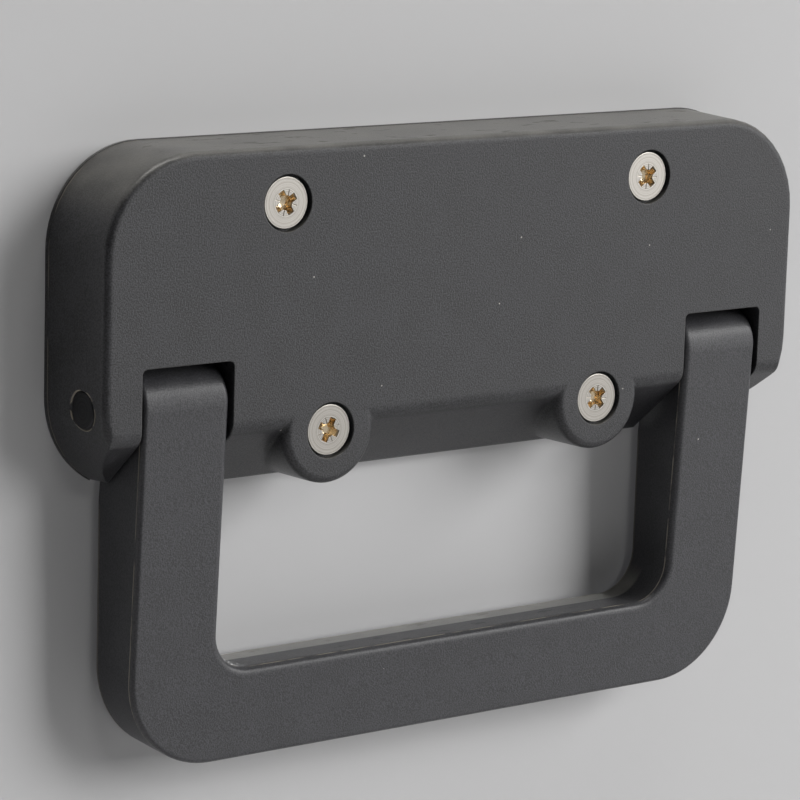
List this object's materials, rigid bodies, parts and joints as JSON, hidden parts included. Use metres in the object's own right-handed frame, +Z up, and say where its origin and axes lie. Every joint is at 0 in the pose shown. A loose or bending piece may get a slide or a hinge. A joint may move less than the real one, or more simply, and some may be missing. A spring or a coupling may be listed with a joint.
{
  "type": "folding handle",
  "caption": "Folding handle: a moulded base plate that screws flat to a panel, with a U-shaped grip that hangs from hinge pins and swings out to be held.",
  "frame": {"origin": "middle of the plate's mounting face, which is also the middle of the screw pattern", "axes": "+X to the right seen from in front, +Y into the panel, +Z up the panel; the grip hangs towards -Z and faces -Y"},
  "size_m": [0.155, 0.0255, 0.1071],
  "materials": {
    "plate_plastic": "fine grained, matte",
    "grip_plastic": "fine grained, satin sides",
    "pin_steel": "blackened steel",
    "screw_steel": "turned stainless steel"
  },
  "bodies": {
    "base": {"base_plate": "plate_plastic", "hinge_pin_left": "pin_steel", "hinge_pin_right": "pin_steel", "mounting_screws": "screw_steel"},
    "grip": {"grip": "grip_plastic"}
  },
  "joints": [
    {"name": "grip_fold", "type": "hinge", "parent": "base", "child": "grip", "pos_m": [0, -0.0103, -0.0132], "axis": [-1, 0, 0], "range_deg": [0, 90]}
  ]
}
